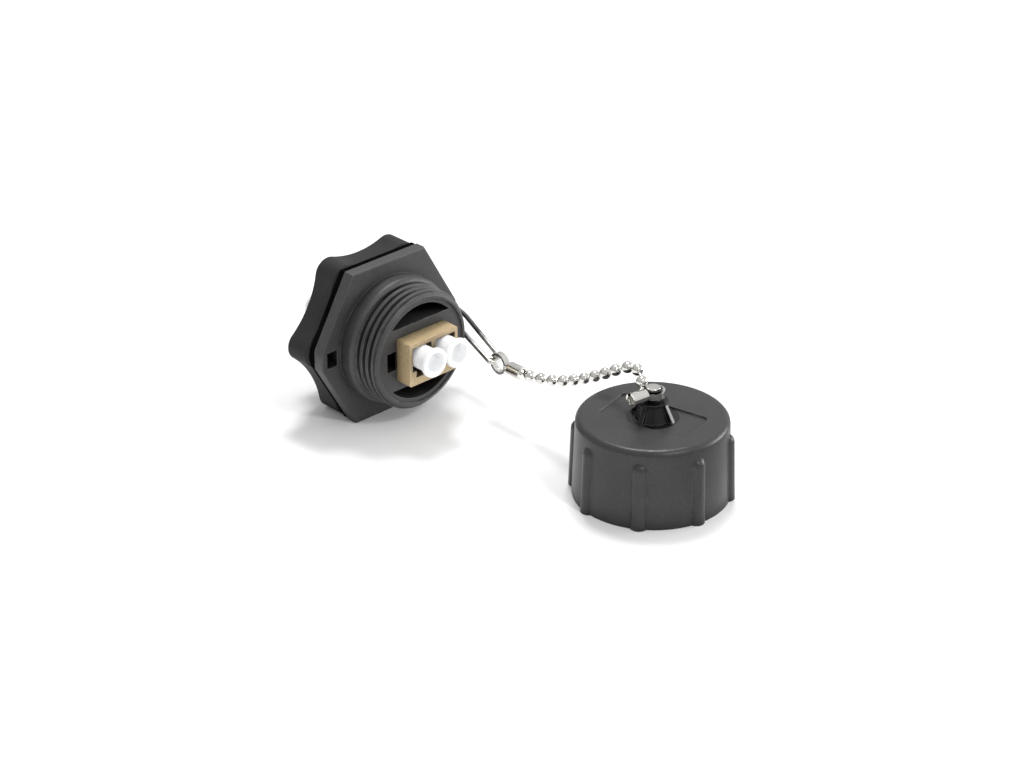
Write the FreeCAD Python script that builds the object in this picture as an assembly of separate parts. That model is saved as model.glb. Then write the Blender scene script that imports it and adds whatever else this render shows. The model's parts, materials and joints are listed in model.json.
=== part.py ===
"""Panel-mount duplex LC fibre adapter with a screw cap on a ball chain.

Frame: millimetres, +Z up. The adapter's axis runs along Y and its front faces -Y. The origin is on
that axis, in the flange's rear face, which seats on the panel through the gasket. At rest the body
lies on the lower flat of its hexagonal flange, and the cap stands beside it on its open rim.
"""
import FreeCAD
import Part
import math
import os
from FreeCAD import Placement, Rotation, Vector

# ---- body: flange, boss, cap thread, panel spigot ----
FLANGE_AF = 33.3            # across the flats, one flat down
FLANGE_T = 2.4
FLANGE_TRIM = 1.126         # taken off each side corner
FLANGE_EDGE = 0.35          # front edge round
LUG_SLOT_W = 2.6
LUG_SLOT_H = 3.4
LUG_WEB = 1.25              # wall between a slot and the trimmed corner
BOSS_R = 13.45
BOSS_END = 6.0              # boss shoulder, in front of the panel face
BOSS_ROUND = 1.1
FACE_END = 11.85            # front face, in front of the panel face
FACE_R = 12.1
FACE_T = 0.85               # disc at the neck's front end
FACE_CHAMFER = 0.45
FACE_RIM = 0.95             # raised rim round the front plate
PLATE_SINK = 0.35
CAP_THREAD_R = 12.6         # crest radius of the thread the cap screws on
CAP_THREAD_PITCH = 1.7
CAP_THREAD_DEPTH = 0.85
CAP_THREAD_CREST = 0.75     # crest width
THREAD_FLANK = 0.42         # flank's run along the axis for each unit of its depth
THREAD_SINK = 0.12          # ridge's foot below its root
THREAD_SPARE = 1.0          # thread wound past each end before it is cut level
SPIGOT_R = 12.35            # crest radius of the panel thread
SPIGOT_END = 11.0
SPIGOT_CHAMFER = 0.6
THREAD_CLEAR = 0.06         # radial, nut on spigot
WINDOW_R = 10.2             # round side of the two D-shaped pockets
WINDOW_CHORD = 6.75         # their flat side, above and below the axis
BULKHEAD = (-1.2, 1.2)      # wall that closes both pockets, along Y
NOTCH_W = 2.45
NOTCH_H = 4.1
NOTCH_DEPTH = 8.0
NEAR = 0.01                 # how near a face or edge is to a level to be on it
OVER = 1.0                  # how far a cutting tool reaches past what it cuts

# ---- panel gasket and lock nut ----
GASKET_INSET = 0.2          # inside the flange's outline
GASKET_T = 1.5
GASKET_NOTCH_X = 14.0       # relief for the tether's wire behind the right lug
GASKET_NOTCH_H = 5.2
NUT_GAP = 0.3               # gasket to nut
NUT_T = 6.2
NUT_INSET = 0.015           # lobes inside the flange's flats
NUT_LOBE_ROUND = 3.3
NUT_HOLLOW = 1.35           # depth of the hollows between two lobes
NUT_EDGE = 0.5

# ---- duplex LC adapter ----
ADAPTER_W = 12.85
ADAPTER_H = 9.3
ADAPTER_FRONT = 15.4        # front face, in front of the panel face
ADAPTER_REAR = 13.1
ADAPTER_CLEAR = 0.08
ADAPTER_EDGE = 0.3
PORT_PITCH = 6.25
PORT_SIDE = 5.2
PORT_RISE = 1.1             # port centre above the adapter's centre
LATCH_W = 3.3
LATCH_DEEP = 1.5            # latch channel below a port
LATCH_LIP = 0.7             # bar that closes the channel at its mouth
LATCH_CATCH = 0.82          # width of the two catches in a channel
LATCH_WINDOW = 2.6
MID_WALL = 4.2              # half thickness of the wall between front and rear ports
HOLDER_R = 1.6              # tube that holds a split sleeve
HOLDER_REACH = 8.2
HOLDER_LIP = 1.0            # stops the sleeve from sliding out
SLEEVE_R = 0.8
SLEEVE_BORE = 0.625
SLEEVE_SLIT = 0.18
SLEEVE_HALF = 3.4
SLEEVE_CLEAR = 0.03
CLIP_T = 0.3
CLIP_LEN = 4.0
CLIP_FROM = 4.6             # clip's rear edge, in front of the panel face
CLIP_WING = 1.9
CLIP_LEG = 2.2              # how far the legs reach below the axis
CLIP_WING_H = 3.1
CLIP_WING_TIP = 0.5         # wing's end and fold, measured along Y
CLIP_WING_BEND = 0.3
CLIP_PLAY = 0.05            # clip in its groove

# ---- dust caps ----
DUST_R = 2.5
DUST_WALL = 0.6
DUST_RIM_R = 3.1
DUST_RIM_T = 1.05
DUST_OUT = 4.0              # how far a cap stands out of the adapter
DUST_IN = 6.2
DUST_DIMPLE_R = 2.15
DUST_DIMPLE = 1.7
DUST_END_WALL = 0.6
DUST_EDGE = 0.25

# ---- screw cap, standing on the floor beside the body ----
CAP_TURN = 12.4             # degrees about the cap's own axis
CAP_EYE_TURN = 174.0        # degrees, from the cap's post to the chain's last bead
CAP_H = 16.6
CAP_TOP_R = 15.0
CAP_BASE_R = 15.56
CAP_EDGE = 1.3
CAP_CEILING = 2.2
CAP_CLEAR = 0.3             # radial, cap thread over body thread
CAP_INNER_R = 11.6          # bore above the thread
CAP_MOUTH = 0.4             # lead-in chamfer
CAP_GASKET_T = 1.2
CAP_GASKET_LIP = 0.5        # gasket's reach inside the bore above the thread
RIB_COUNT = 8
RIB_W = 3.4
RIB_PROUD = 0.9
RIB_H = 14.1
POCKET_LONG = 19.3
POCKET_SHORT = 10.0
POCKET_DEEP = 0.3
POCKET_ROUND = 1.2

# ---- post on the cap ----
POST_BASE_R = 3.7
POST_TOP_R = 2.5
POST_FIN_R = 4.9
POST_FIN_T = 0.9
POST_DISC_R = 3.0
POST_DISC_T = 0.5
POST_DISC_H = 20.1          # top of the shoulder disc, above the floor
POST_NECK_R = 1.3
POST_NECK_H = 2.2
POST_HEAD_R = 1.86
POST_HEAD_H = 0.45
POST_HEAD_LIP = 0.22        # rise of the head's underside from neck to rim
POST_HEAD_TOP_R = 1.5
POST_ROOT = 0.2             # post and fins start below the pocket's floor
POST_FIN_INSET = 0.09       # fin tips inside the shoulder disc
EYE_UNDER_HEAD = 0.05       # the raised eye's gap to the post's head

# ---- tether loop, ball chain and its two couplings ----
WIRE_R = 0.5
LOOP_HALF_LUG = 1.8         # half distance between the strands at the lug
LOOP_HALF_EYE = 1.4
LOOP_EYE_X = 14.0
LOOP_EYE_Y = -18.6
LOOP_EYE_Z = -4.75
LOOP_REAR = 0.95            # behind the panel face, in the gap in front of the nut
LOOP_LUG_Z = -0.35
LOOP_STRAIGHT = 3.6         # straight run through the slot
LUG_BEND = 0.9              # wire centre-line radii
EYE_BEND = 0.75
SHOULDER_BEND = 9.0
BEAD_R = 1.2
BEAD_WALL = 0.18
BEAD_HOLE_R = 0.5
BEAD_PITCH = 3.28
PIN_R = 0.2
PIN_HEAD_R = 0.54
PIN_SEAT = 0.6              # head centre from the bead's centre
PIN_SPAN = BEAD_PITCH - 2 * PIN_SEAT
CAVITY_STEPS = 3            # straight facets along a bead's cavity, and along a pin's head
HEAD_STEPS = 4
EYE_R = 2.3
EYE_T = 0.55
EYE_W = 1.3
SHELL_T = 0.2
SHELL_GRIP = 0.05           # bead to shell, radial
SHELL_MOUTH_R = 1.0
SHELL_SLOT = 1.0
SHELL_FROM = 3.3            # distances from the eye's centre: shell, its end, held bead, slot
SHELL_END = 6.76
SHELL_BEAD = 5.56
SLOT_FROM = 3.5
BODY_SLOT_TURN = 200.0      # degrees round the shell
CAP_SHELL_FROM = 2.1
CAP_SHELL_END = 5.6
CAP_SHELL_BEAD = 3.55
CAP_SLOT_FROM = 1.9
EYE_PLAY = 0.05             # loop wire to eye
COUPLING_ANGLES = (1.0, -1.7)
# rise and side turn of each pin, in degrees, from the body's coupling to the cap's
PIN_ANGLES = [(5, 0), (11, 0), (14, 0), (19, 0), (24, 0), (27, 0), (29, 0), (31, 0), (33, 0),
              (29, 10), (16, -8), (-19, -28), (-48, -63)]
TILT_RANGE = (-30.0, 30.0)  # degrees added to every pin's rise, so that the chain ends at the cap
TILT_STEPS = 40

FLOOR = -FLANGE_AF / 2
X = Vector(1, 0, 0)
Y = Vector(0, 1, 0)
Z = Vector(0, 0, 1)


# ---- small helpers ----
def box(x0, x1, y0, y1, z0, z1):
    return Part.makeBox(x1 - x0, y1 - y0, z1 - z0, Vector(x0, y0, z0))


def rod(radius, y0, y1, x=0.0, z=0.0):
    """A cylinder along Y from y0 to y1."""
    return Part.makeCylinder(radius, y1 - y0, Vector(x, y0, z), Y)


def spin(points, base, axis):
    """Revolve a closed outline given as points."""
    face = Part.Face(Part.makePolygon(points + points[:1]))
    return face.revolve(base, axis, 360)


def polar(radius, degrees, y=0.0):
    angle = math.radians(degrees)
    return Vector(radius * math.cos(angle), y, radius * math.sin(angle))


def moved(shape, offset):
    copy = shape.copy()
    copy.translate(offset)
    return copy


def edges_at(shape, along, level):
    """Edges that lie across a direction, at a level along it."""
    return [e for e in shape.Edges if abs(e.CenterOfMass.dot(along) - level) < NEAR]


def tidy(shape):
    solid = shape.removeSplitter()
    if solid.ShapeType == "Compound" and len(solid.Solids) == 1:
        solid = solid.Solids[0]
    return solid


def thread_ridge(crest_r, depth, crest, pitch, start, length):
    """A helical ridge of trapezoid section round Z, sunk a little into its carrier."""
    root_r = crest_r - depth
    foot = crest / 2 + depth * THREAD_FLANK
    helix = Part.makeHelix(pitch, length, root_r)
    corners = [Vector(root_r - THREAD_SINK, 0, -foot), Vector(root_r - THREAD_SINK, 0, foot),
               Vector(crest_r, 0, crest / 2), Vector(crest_r, 0, -crest / 2)]
    section = Part.makePolygon(corners + corners[:1])
    ridge = Part.Wire(helix).makePipeShell([section], True, True)
    ridge.translate(Vector(0, 0, start))
    return ridge


def onto_y(shape, front=True):
    """Turn a shape modelled along +Z so that it runs along -Y (front) or +Y (rear)."""
    turned = shape.copy()
    turned.rotate(Vector(0, 0, 0), X, 90 if front else -90)
    return turned


# ---- body ----
def flange_tip():
    """Half width over the two trimmed side corners."""
    return FLANGE_AF / math.sqrt(3) - FLANGE_TRIM


def hexagon_plate(inset, y0, y1):
    """A plate of the flange's outline, drawn in by an inset."""
    corner_r = (FLANGE_AF / 2 - inset) / math.cos(math.radians(30))
    corners = [polar(corner_r, 60 * k, y0) for k in range(6)]
    plate = Part.Face(Part.makePolygon(corners + corners[:1])).extrude(Y * (y1 - y0))
    half = flange_tip() - inset
    return plate.common(box(-half, half, y0, y1, -FLANGE_AF, FLANGE_AF))


def flange():
    plate = hexagon_plate(0, -FLANGE_T, 0)
    plate = plate.makeFillet(FLANGE_EDGE, edges_at(plate, Y, -FLANGE_T))
    outer = flange_tip() - LUG_WEB
    for inner in (outer - LUG_SLOT_W, -outer):
        plate = plate.cut(box(inner, inner + LUG_SLOT_W, -FLANGE_T - OVER, OVER,
                              -LUG_SLOT_H / 2, LUG_SLOT_H / 2))
    return plate


def threaded_neck(low, high):
    """Neck with its thread ridge, wound past both ends and then cut level."""
    root = CAP_THREAD_R - CAP_THREAD_DEPTH
    spare = THREAD_SPARE
    core = Part.makeCylinder(root, high - low + 3 * spare, Vector(0, 0, low - 1.5 * spare))
    ridge = thread_ridge(CAP_THREAD_R, CAP_THREAD_DEPTH, CAP_THREAD_CREST, CAP_THREAD_PITCH,
                         low - spare, high - low + 2 * spare)
    reach = 2 * CAP_THREAD_R
    neck = core.fuse(ridge)
    neck = neck.cut(Part.makeBox(2 * reach, 2 * reach, reach, Vector(-reach, -reach, low - reach)))
    return neck.cut(Part.makeBox(2 * reach, 2 * reach, reach, Vector(-reach, -reach, high)))


def front_boss():
    """Boss, threaded neck and front disc, modelled along Z from the panel face."""
    boss = Part.makeCylinder(BOSS_R, BOSS_END)
    boss = boss.makeFillet(BOSS_ROUND, edges_at(boss, Z, BOSS_END))
    disc_at = FACE_END - FACE_T
    disc = Part.makeCylinder(FACE_R, FACE_T, Vector(0, 0, disc_at))
    disc = disc.makeChamfer(FACE_CHAMFER, edges_at(disc, Z, FACE_END))
    return onto_y(threaded_neck(BOSS_END, disc_at).fuse([boss, disc]))


def spigot():
    """Panel thread's outer size, plain, with a lead-in at its end."""
    core = rod(SPIGOT_R, 0, SPIGOT_END)
    return core.makeChamfer(SPIGOT_CHAMFER, edges_at(core, Y, SPIGOT_END))


def d_pocket(y0, y1, side):
    """One D-shaped pocket above (side 1) or below (side -1) the adapter's bar."""
    near, far = WINDOW_CHORD * side, (WINDOW_R + OVER) * side
    slab = box(-WINDOW_R, WINDOW_R, y0, y1, min(near, far), max(near, far))
    return rod(WINDOW_R, y0, y1).common(slab)


def housing():
    body = flange().fuse([front_boss(), spigot()])
    cuts = [rod(FACE_R - FACE_RIM, -FACE_END - OVER, -FACE_END + PLATE_SINK)]
    for side in (1, -1):
        cuts.append(d_pocket(-FACE_END - OVER, BULKHEAD[0], side))
        cuts.append(d_pocket(BULKHEAD[1], SPIGOT_END + OVER, side))
    half_w = ADAPTER_W / 2 + ADAPTER_CLEAR
    half_h = ADAPTER_H / 2 + ADAPTER_CLEAR
    cuts.append(box(-half_w, half_w, -FACE_END - OVER, SPIGOT_END + OVER, -half_h, half_h))
    reach = half_w + NOTCH_W
    cuts.append(box(-reach, reach, -FACE_END - OVER, -FACE_END + NOTCH_DEPTH,
                    -NOTCH_H / 2, NOTCH_H / 2))
    for tool in cuts:
        body = body.cut(tool)
    return body.Solids[0]


# ---- gasket and nut ----
def flange_gasket():
    """Sheet of the flange's outline, open where the tether's wire goes round the lug."""
    sheet = hexagon_plate(GASKET_INSET, 0, GASKET_T)
    notch = box(GASKET_NOTCH_X, FLANGE_AF, -OVER, GASKET_T + OVER,
                -GASKET_NOTCH_H / 2, GASKET_NOTCH_H / 2)
    return sheet.cut([rod(SPIGOT_R, 0, GASKET_T), notch])


def nut_outline(y):
    """Six round lobes joined by hollow arcs that run tangent into them."""
    step = math.radians(30)
    lobe_at = (FLANGE_AF / 2 - NUT_INSET - NUT_LOBE_ROUND) / math.sin(2 * step)
    c30 = math.cos(step)
    valley_r = lobe_at * c30 + NUT_LOBE_ROUND - NUT_HOLLOW
    hollow_r = ((NUT_LOBE_ROUND ** 2 - lobe_at ** 2 - valley_r ** 2 + 2 * lobe_at * valley_r * c30)
                / (2 * (valley_r - lobe_at * c30 - NUT_LOBE_ROUND)))
    hollow_at = valley_r + hollow_r
    toward = math.atan2(hollow_at * math.sin(step), hollow_at * c30 - lobe_at)
    meet_x = lobe_at + NUT_LOBE_ROUND * math.cos(toward)
    meet_z = NUT_LOBE_ROUND * math.sin(toward)
    meet_r = math.hypot(meet_x, meet_z)
    meet_deg = math.degrees(math.atan2(meet_z, meet_x))
    edges = []
    for k in range(6):
        turn = 60 * k
        start, end = polar(meet_r, turn - meet_deg, y), polar(meet_r, turn + meet_deg, y)
        following = polar(meet_r, turn + 60 - meet_deg, y)
        edges.append(Part.Arc(start, polar(lobe_at + NUT_LOBE_ROUND, turn, y), end).toShape())
        edges.append(Part.Arc(end, polar(valley_r, turn + 30, y), following).toShape())
    return Part.Wire(edges)


def lock_nut():
    front = GASKET_T + NUT_GAP
    blank = Part.Face(nut_outline(front)).extrude(Y * NUT_T)
    rims = edges_at(blank, Y, front) + edges_at(blank, Y, front + NUT_T)
    blank = blank.makeChamfer(NUT_EDGE, rims)
    return blank.cut(rod(SPIGOT_R + THREAD_CLEAR, front - OVER, front + NUT_T + OVER))


# ---- LC adapter ----
def port_x():
    return (-PORT_PITCH / 2, PORT_PITCH / 2)


def half_shell(reach):
    """One half of the adapter, modelled along -Y from the parting plane to its mouth."""
    shell = box(-ADAPTER_W / 2, ADAPTER_W / 2, -reach, 0, -ADAPTER_H / 2, ADAPTER_H / 2)
    long_edges = [e for e in shell.Edges if abs(e.tangentAt(e.FirstParameter).y) > 0.9]
    shell = shell.makeFillet(ADAPTER_EDGE, long_edges)
    floor_z = PORT_RISE - PORT_SIDE / 2
    for x in port_x():
        half = PORT_SIDE / 2
        shell = shell.cut(box(x - half, x + half, -reach - OVER, -MID_WALL,
                              PORT_RISE - half, PORT_RISE + half))
        low = floor_z - LATCH_DEEP
        shell = shell.cut(box(x - LATCH_W / 2, x + LATCH_W / 2, -reach - OVER, -MID_WALL,
                              low, PORT_RISE))
        catch = box(x - LATCH_W / 2, x - LATCH_W / 2 + LATCH_CATCH, -reach + LATCH_LIP,
                    -reach + LATCH_LIP + LATCH_WINDOW, low, floor_z - LATCH_LIP)
        shell = shell.fuse([catch, moved(catch, X * (LATCH_W - LATCH_CATCH))])
        shell = shell.fuse(rod(HOLDER_R, -HOLDER_REACH, -MID_WALL / 2, x, PORT_RISE))
        shell = shell.cut(rod(SLEEVE_R + SLEEVE_CLEAR, -HOLDER_REACH + HOLDER_LIP, OVER,
                              x, PORT_RISE))
        shell = shell.cut(rod(SLEEVE_BORE, -HOLDER_REACH - OVER, OVER, x, PORT_RISE))
    return shell


def adapter_front_shell():
    shell = half_shell(ADAPTER_FRONT)
    sink = CLIP_T + CLIP_PLAY
    ring = box(-ADAPTER_W, ADAPTER_W, -CLIP_FROM - CLIP_LEN - CLIP_PLAY, -CLIP_FROM + CLIP_PLAY,
               -CLIP_LEG - CLIP_PLAY, ADAPTER_H)
    core = box(-ADAPTER_W / 2 + sink, ADAPTER_W / 2 - sink, -ADAPTER_FRONT, 0,
               -ADAPTER_H, ADAPTER_H / 2 - sink)
    return tidy(shell.cut(ring.cut(core)))


def adapter_rear_shell():
    shell = half_shell(ADAPTER_REAR)
    shell.rotate(Vector(0, 0, 0), Z, 180)
    return tidy(shell)


def split_sleeve(x):
    tube = rod(SLEEVE_R, -SLEEVE_HALF, SLEEVE_HALF, x, PORT_RISE)
    tube = tube.cut(rod(SLEEVE_BORE, -SLEEVE_HALF, SLEEVE_HALF, x, PORT_RISE))
    slit = box(x - SLEEVE_SLIT / 2, x + SLEEVE_SLIT / 2, -SLEEVE_HALF, SLEEVE_HALF,
               PORT_RISE, PORT_RISE + SLEEVE_R + OVER)
    return tube.cut(slit)


def panel_clip():
    """Sheet saddle in the adapter's groove, with two wings that spring into the notches."""
    outer_x = ADAPTER_W / 2
    outer_z = ADAPTER_H / 2
    front, rear = -CLIP_FROM - CLIP_LEN, -CLIP_FROM
    saddle = box(-outer_x, outer_x, front, rear, -CLIP_LEG, outer_z)
    hollow = box(-outer_x + CLIP_T, outer_x - CLIP_T, front - OVER, rear + OVER,
                 -CLIP_LEG - OVER, outer_z - CLIP_T)
    clip = saddle.cut(hollow)
    tip = outer_x + CLIP_WING
    for side in (1, -1):
        wing = [Vector(side * (outer_x - CLIP_T), front, 0), Vector(side * outer_x, front, 0),
                Vector(side * tip, rear - CLIP_WING_TIP, 0),
                Vector(side * (tip - CLIP_T), rear - CLIP_WING_BEND, 0),
                Vector(side * (outer_x - CLIP_T / 2), front + CLIP_WING_TIP, 0)]
        leaf = Part.Face(Part.makePolygon(wing + wing[:1])).extrude(Z * CLIP_WING_H)
        clip = clip.fuse(moved(leaf, Z * (-CLIP_WING_H / 2)))
    return tidy(clip)


def dust_cap(x, front):
    """A moulded cup over the sleeve holder, modelled at the front and turned for the rear."""
    face = ADAPTER_FRONT if front else ADAPTER_REAR
    tip, tail = face + DUST_OUT, face - DUST_IN
    inner = DUST_R - DUST_WALL
    body = rod(DUST_R, -tip + DUST_RIM_T / 2, -tail, x, PORT_RISE)
    rim = rod(DUST_RIM_R, -tip, -tip + DUST_RIM_T, x, PORT_RISE)
    rim = rim.makeChamfer(DUST_EDGE, edges_at(rim, Y, -tip) + edges_at(rim, Y, -tip + DUST_RIM_T))
    body = body.fuse(rim)
    body = body.cut(rod(DUST_DIMPLE_R, -tip - OVER, -tip + DUST_DIMPLE, x, PORT_RISE))
    body = body.cut(rod(inner, -tip + DUST_DIMPLE + DUST_END_WALL, -tail + OVER, x, PORT_RISE))
    if not front:
        body.rotate(Vector(0, 0, 0), Z, 180)
    return body


# ---- screw cap ----
def cap_bore():
    """The hollow of the cap, modelled along Z from its rim."""
    thread_r = CAP_THREAD_R + CAP_CLEAR
    step = FACE_END - BOSS_END + CAP_GASKET_T
    top = CAP_H - CAP_CEILING
    return spin([Vector(0, 0, -OVER), Vector(thread_r + CAP_MOUTH + OVER, 0, -OVER),
                 Vector(thread_r, 0, CAP_MOUTH),
                 Vector(thread_r, 0, step), Vector(CAP_INNER_R, 0, step),
                 Vector(CAP_INNER_R, 0, top), Vector(0, 0, top)], Vector(0, 0, 0), Z)


def cap_rib(degrees):
    """A grip rib: a leaning round bar with a domed top, half buried in the wall."""
    bar_r = RIB_W / 2
    lean = math.degrees(math.atan2(CAP_BASE_R - CAP_TOP_R, CAP_H))
    bar = Part.makeCylinder(bar_r, RIB_H - bar_r + OVER, Vector(0, 0, -OVER))
    bar = bar.fuse(Part.makeSphere(bar_r, Vector(0, 0, RIB_H - bar_r)))
    bar.rotate(Vector(0, 0, 0), Y, -lean)
    bar.translate(X * (CAP_BASE_R + RIB_PROUD - bar_r))
    bar = bar.cut(box(0, 2 * CAP_BASE_R, -RIB_W, RIB_W, -2 * OVER, 0))
    bar.rotate(Vector(0, 0, 0), Z, degrees)
    return bar


def cap_post():
    """Conical pin with four fins, a shoulder disc, a neck and a rounded head."""
    base_h = CAP_H - POCKET_DEEP - POST_ROOT
    under_disc = POST_DISC_H - POST_DISC_T
    neck_top = POST_DISC_H + POST_NECK_H
    post = spin([Vector(0, 0, base_h), Vector(POST_BASE_R, 0, base_h),
                 Vector(POST_TOP_R, 0, under_disc), Vector(POST_DISC_R, 0, under_disc),
                 Vector(POST_DISC_R, 0, POST_DISC_H), Vector(POST_NECK_R, 0, POST_DISC_H),
                 Vector(POST_NECK_R, 0, neck_top),
                 Vector(POST_HEAD_R, 0, neck_top + POST_HEAD_LIP),
                 Vector(POST_HEAD_TOP_R, 0, neck_top + POST_HEAD_H),
                 Vector(0, 0, neck_top + POST_HEAD_H)], Vector(0, 0, 0), Z)
    half = POST_FIN_T / 2
    fin_top = POST_DISC_H - POST_DISC_T / 2
    fin = Part.Face(Part.makePolygon([
        Vector(0, -half, base_h), Vector(POST_FIN_R, -half, base_h),
        Vector(POST_DISC_R - POST_FIN_INSET, -half, fin_top), Vector(0, -half, fin_top),
        Vector(0, -half, base_h)])).extrude(Y * POST_FIN_T)
    fins = []
    for k in range(4):
        turned = fin.copy()
        turned.rotate(Vector(0, 0, 0), Z, 90 * k)
        fins.append(turned)
    return post.fuse(fins)


def place_cap(shape):
    """Set a shape modelled round Z, from the cap's rim up, on the floor under the chain's end."""
    post = cap_eye()
    shape.rotate(Vector(0, 0, 0), Z, CAP_TURN)
    shape.translate(Vector(post.x, post.y, FLOOR))
    return shape


def screw_cap():
    skin = Part.makeCone(CAP_BASE_R, CAP_TOP_R, CAP_H)
    skin = skin.makeFillet(CAP_EDGE, edges_at(skin, Z, CAP_H))
    ribs = [cap_rib((k + 0.5) * 360 / RIB_COUNT) for k in range(RIB_COUNT)]
    pocket = Part.makeBox(POCKET_SHORT, POCKET_LONG, POCKET_DEEP + OVER,
                          Vector(-POCKET_SHORT / 2, -POCKET_LONG / 2, CAP_H - POCKET_DEEP))
    upright = [e for e in pocket.Edges if abs(e.tangentAt(e.FirstParameter).z) > 0.9]
    pocket = pocket.makeFillet(POCKET_ROUND, upright)
    body = skin.fuse(ribs).cut(pocket).cut(cap_bore())
    return place_cap(tidy(body.fuse(cap_post())))


def cap_gasket():
    step = FACE_END - BOSS_END
    ring = Part.makeCylinder(CAP_THREAD_R + CAP_CLEAR, CAP_GASKET_T, Vector(0, 0, step))
    return place_cap(ring.cut(Part.makeCylinder(CAP_INNER_R - CAP_GASKET_LIP, CAP_GASKET_T,
                                                Vector(0, 0, step))))


# ---- tether loop ----
def rounded_loop(points, radii):
    """A closed wire of straight runs joined by tangent arcs."""
    count = len(points)
    ends = []
    for k in range(count):
        corner = points[k]
        back = (points[k - 1] - corner).normalize()
        ahead = (points[(k + 1) % count] - corner).normalize()
        half = back.getAngle(ahead) / 2
        cut = radii[k] / math.tan(half)
        toward = (back + ahead).normalize()
        middle = corner + toward * (radii[k] / math.sin(half) - radii[k])
        ends.append((corner + back * cut, middle, corner + ahead * cut))
    edges = []
    for k in range(count):
        edges.append(Part.Arc(*ends[k]).toShape())
        edges.append(Part.LineSegment(ends[k][2], ends[(k + 1) % count][0]).toShape())
    return Part.Wire(edges), edges


def on_loop(x, y):
    """A point of the loop's plane, which runs level along X and falls towards the eye."""
    slope = (LOOP_EYE_Z - LOOP_LUG_Z) / (LOOP_EYE_Y - LOOP_REAR)
    return Vector(x, y, LOOP_LUG_Z + slope * (y - LOOP_REAR))


def tether_loop():
    """A closed wire loop: round the lug's web at one end, through the chain's eye at the other."""
    lug_x = flange_tip() - LUG_WEB / 2
    inner, outer = lug_x - LOOP_HALF_LUG, lug_x + LOOP_HALF_LUG
    points = [on_loop(inner, LOOP_REAR), on_loop(outer, LOOP_REAR), on_loop(outer, -LOOP_STRAIGHT),
              on_loop(LOOP_EYE_X + LOOP_HALF_EYE, LOOP_EYE_Y),
              on_loop(LOOP_EYE_X - LOOP_HALF_EYE, LOOP_EYE_Y), on_loop(inner, -LOOP_STRAIGHT)]
    path, edges = rounded_loop(points, [LUG_BEND, LUG_BEND, SHOULDER_BEND,
                                        EYE_BEND, EYE_BEND, SHOULDER_BEND])
    start = edges[1]
    here = start.valueAt(start.FirstParameter)
    ring = Part.Wire(Part.makeCircle(WIRE_R, here, start.tangentAt(start.FirstParameter)))
    return path.makePipeShell([ring], True, False)


# ---- ball chain ----
def pin_direction(rise, turn):
    level = math.cos(math.radians(rise))
    return Vector(level * math.sin(math.radians(turn)), -level * math.cos(math.radians(turn)),
                  math.sin(math.radians(rise)))


def body_eye():
    """Centre of the body coupling's eye, hung on the loop's end wire."""
    hook = Vector(LOOP_EYE_X, LOOP_EYE_Y, LOOP_EYE_Z)
    return hook + pin_direction(*COUPLING_ANGLES) * (EYE_R - EYE_T - WIRE_R - EYE_PLAY)


def chain_directions(tilt):
    """Direction of every pin, and of every bead's axis: halfway between its two pins."""
    pins = [pin_direction(rise + tilt, turn) for rise, turn in PIN_ANGLES]
    middle = [(a + b).normalize() for a, b in zip(pins, pins[1:])]
    return pins, [pins[0]] + middle + [pins[-1]]


def bead_centres(tilt):
    """Bead centres from the body's coupling to the cap's, with every pin tilted up a little."""
    pins, axes = chain_directions(tilt)
    centres = [body_eye() + pin_direction(*COUPLING_ANGLES) * SHELL_BEAD]
    for k, along in enumerate(pins):
        centres.append(centres[-1] + (axes[k] + axes[k + 1]) * PIN_SEAT + along * PIN_SPAN)
    return centres


def chain_tilt():
    """The tilt, in degrees, that brings the last bead level with the eye under the post's head."""
    level = FLOOR + POST_DISC_H + POST_NECK_H - EYE_W / 2 - EYE_UNDER_HEAD
    low, high = TILT_RANGE
    for _ in range(TILT_STEPS):
        tilt = (low + high) / 2
        if bead_centres(tilt)[-1].z < level:
            low = tilt
        else:
            high = tilt
    return tilt


def chain_route():
    """Bead centres, pin directions and bead axes of the chain as it hangs."""
    tilt = chain_tilt()
    pins, axes = chain_directions(tilt)
    return bead_centres(tilt), pins, axes


def cap_shell_direction():
    turn = math.radians(CAP_EYE_TURN)
    return Vector(math.cos(turn), math.sin(turn), 0)


def cap_eye():
    """Centre of the eye round the cap's post. The cap stands under it."""
    centres = chain_route()[0]
    return centres[-1] - cap_shell_direction() * CAP_SHELL_BEAD


def aim(shape, where, direction):
    """Place a shape modelled along +X at a point, facing a direction."""
    placed = shape.copy()
    placed.Placement = Placement(where, Rotation(X, direction))
    return placed


def ball_profile(radius, from_deg, to_deg, steps):
    """Points of a ball's half outline in the XY plane, by angle from the -X end."""
    points = []
    for k in range(steps + 1):
        angle = math.radians(from_deg + (to_deg - from_deg) * k / steps)
        points.append(Vector(-radius * math.cos(angle), radius * math.sin(angle), 0))
    return points


def bead():
    """A hollow ball with a hole at each end, along X. Its cavity is turned in straight steps."""
    inner_r = BEAD_R - BEAD_WALL
    inner_edge = math.degrees(math.asin(BEAD_HOLE_R / inner_r))
    outer_edge = math.degrees(math.asin(BEAD_HOLE_R / BEAD_R))
    cavity = ball_profile(inner_r, inner_edge, 180 - inner_edge, CAVITY_STEPS)
    outside = ball_profile(BEAD_R, outer_edge, 180 - outer_edge, 2)
    around = [outside[2]] + cavity[::-1] + [outside[0]]
    edges = [Part.LineSegment(a, b).toShape() for a, b in zip(around, around[1:])]
    profile = Part.Wire([Part.Arc(*outside).toShape()] + edges)
    return Part.Face(profile).revolve(Vector(0, 0, 0), X, 360)


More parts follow.
